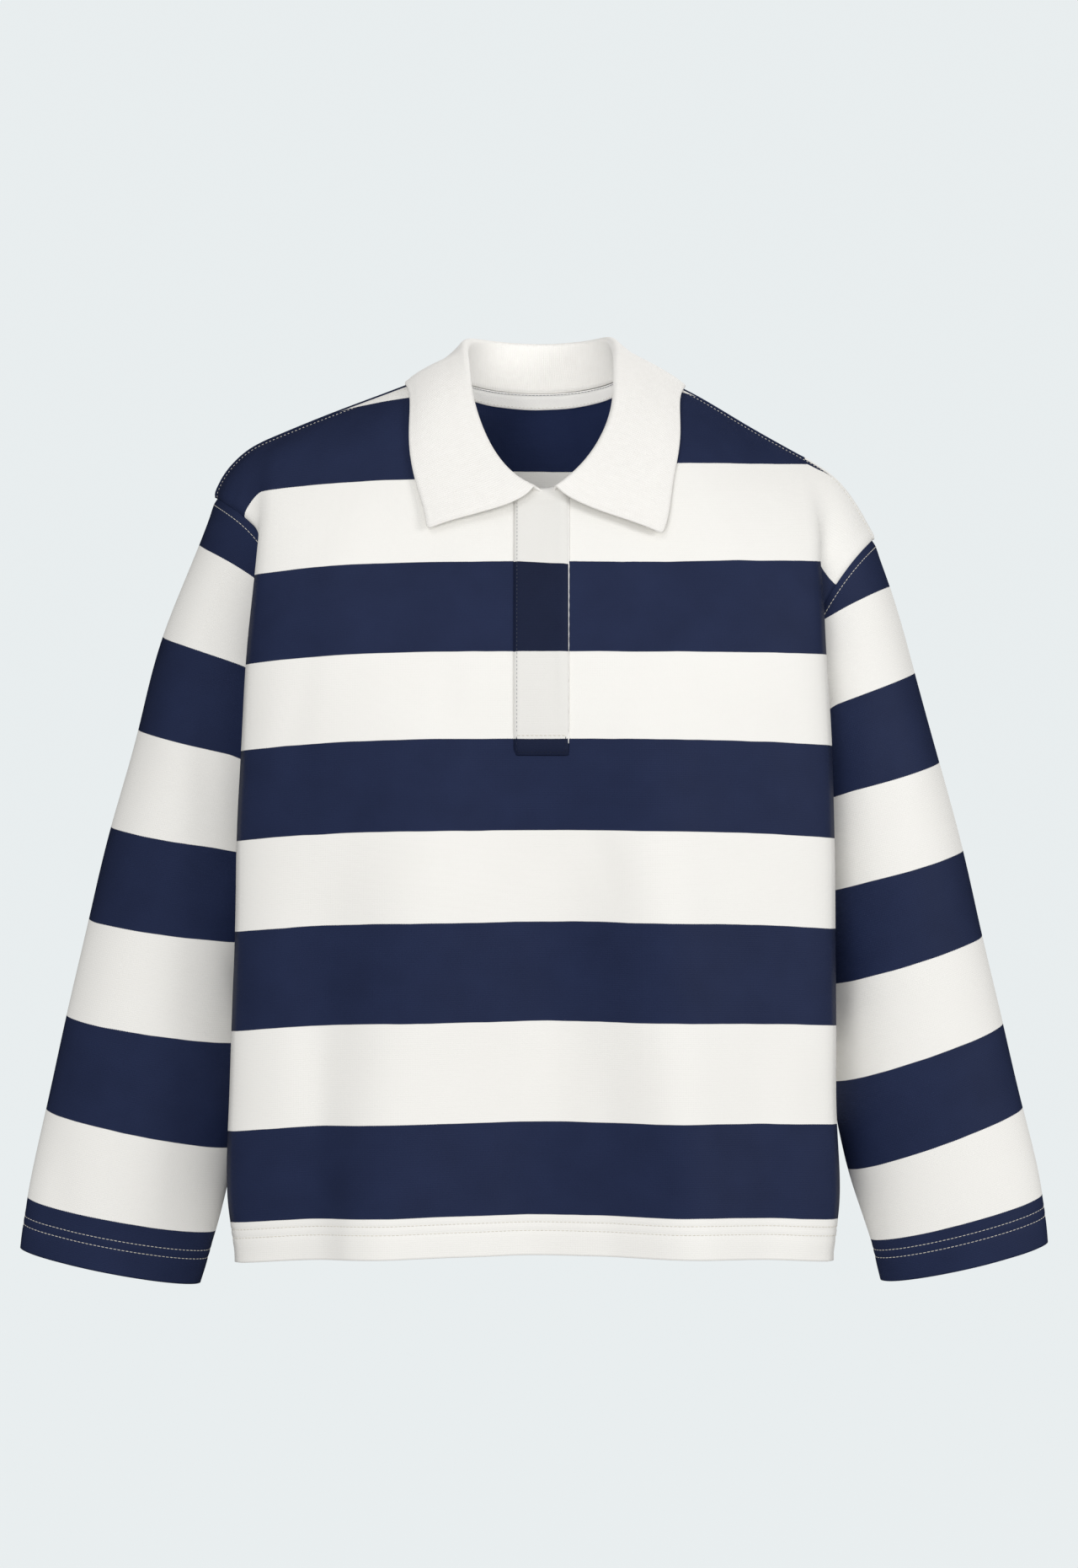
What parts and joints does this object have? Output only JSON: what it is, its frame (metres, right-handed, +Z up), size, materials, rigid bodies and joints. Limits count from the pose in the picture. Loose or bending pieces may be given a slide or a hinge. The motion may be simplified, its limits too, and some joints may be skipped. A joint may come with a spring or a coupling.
{
  "type": "polo shirt",
  "caption": "Loose long-sleeved polo shirt in wide navy and off-white stripes, with a knitted collar and a hidden-button placket, standing open in its worn shape.",
  "frame": {"origin": "middle of the neck at shoulder height, where a figure or a hanger holds the garment", "axes": "+Z up out of the neck, +X to the wearer's left, the front faces -Y"},
  "size_m": [0.735, 0.2266, 0.6773],
  "materials": {
    "striped_jersey": "matte heavy cotton jersey in horizontal navy and off-white stripes",
    "collar_rib": "matte flat-knitted fine rib",
    "neck_tape": "matte cotton twill tape"
  },
  "bodies": {
    "root": {"front_body": "striped_jersey", "back_body": "striped_jersey", "sleeve_right": "striped_jersey", "sleeve_left": "striped_jersey", "placket_upper": "striped_jersey", "placket_under": "striped_jersey", "collar": "collar_rib", "neck_tape": "neck_tape"}
  },
  "joints": []
}
